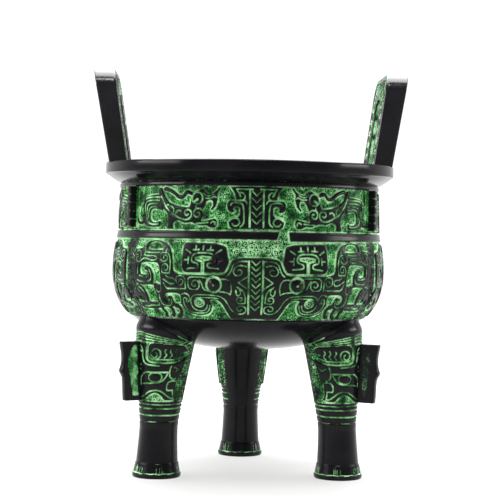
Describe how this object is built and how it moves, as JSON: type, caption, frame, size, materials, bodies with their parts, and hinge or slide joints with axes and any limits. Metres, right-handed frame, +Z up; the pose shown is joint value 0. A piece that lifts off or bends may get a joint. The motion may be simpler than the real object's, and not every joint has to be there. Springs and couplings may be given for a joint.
{
  "type": "bronze ding vessel",
  "caption": "Round three-legged bronze ding, hollow bowl with flat rim, leaning loop handles, taotie and dragon registers, dark finish with green in the hollows.",
  "frame": {"origin": "on the floor in the middle between the feet, under the middle of the bowl", "axes": "+Z up along the bowl's axis, -Y towards the front mask, handles at +X and -X, one leg at +Y"},
  "size_m": [0.2016, 0.186, 0.2557],
  "materials": {
    "patinated_bronze": "cast bronze with a glossy brown-black surface on the raised parts and rim, and chalky bright green patina in every hollow"
  },
  "bodies": {
    "root": {"ding_vessel": "patinated_bronze"}
  },
  "joints": []
}
